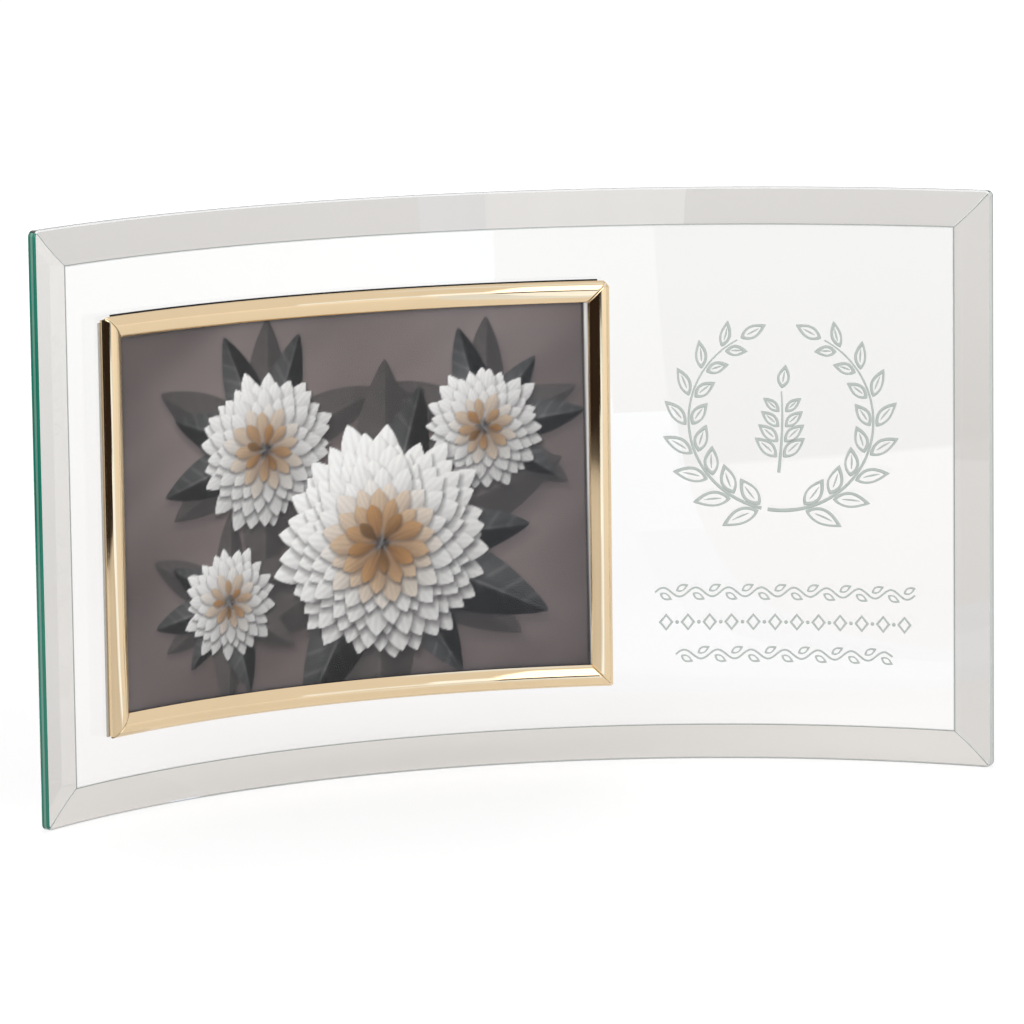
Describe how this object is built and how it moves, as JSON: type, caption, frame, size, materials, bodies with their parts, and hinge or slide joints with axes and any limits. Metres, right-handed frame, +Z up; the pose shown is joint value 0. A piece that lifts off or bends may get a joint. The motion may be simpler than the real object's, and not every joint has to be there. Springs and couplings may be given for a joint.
{
  "type": "curved glass photo frame",
  "caption": "Bent, bevelled glass panel that stands on its lower edge, with a mitred gold moulding on its hollow side that holds a print, its clear cover sheet and a backing card.",
  "frame": {"origin": "middle of the footprint, on the surface that the glass stands on", "axes": "+X runs along the panel to the viewer's right, +Y points away from the viewer towards the bulging back, +Z is up"},
  "size_m": [0.3182, 0.0609, 0.19],
  "materials": {
    "glass": "polished clear float glass, green at its edges",
    "gold_moulding": "polished pale gold plate",
    "key_brass": "bare brass",
    "tape": "translucent white double-sided tape",
    "clear_sheet": "clear gloss",
    "print": "satin photo paper",
    "black_card": "matt black card"
  },
  "bodies": {
    "frame": {"glass_panel": "glass", "bezel_top_rail": "gold_moulding", "bezel_bottom_rail": "gold_moulding", "bezel_left_stile": "gold_moulding", "bezel_right_stile": "gold_moulding", "corner_key_top_left": "key_brass", "corner_key_top_right": "key_brass", "corner_key_bottom_left": "key_brass", "corner_key_bottom_right": "key_brass", "tape_left": "tape", "tape_right": "tape", "tape_bottom": "tape"},
    "cover": {"cover_sheet": "clear_sheet"},
    "print": {"photo_print": "print"},
    "card": {"backing_card": "black_card"}
  },
  "joints": [
    {"name": "cover_slide", "type": "slide", "parent": "frame", "child": "cover", "axis": [0, 0, 1], "range_m": [0, 0.13]},
    {"name": "print_slide", "type": "slide", "parent": "frame", "child": "print", "axis": [0, 0, 1], "range_m": [0, 0.13]},
    {"name": "card_slide", "type": "slide", "parent": "frame", "child": "card", "axis": [0, 0, 1], "range_m": [0, 0.13]}
  ]
}
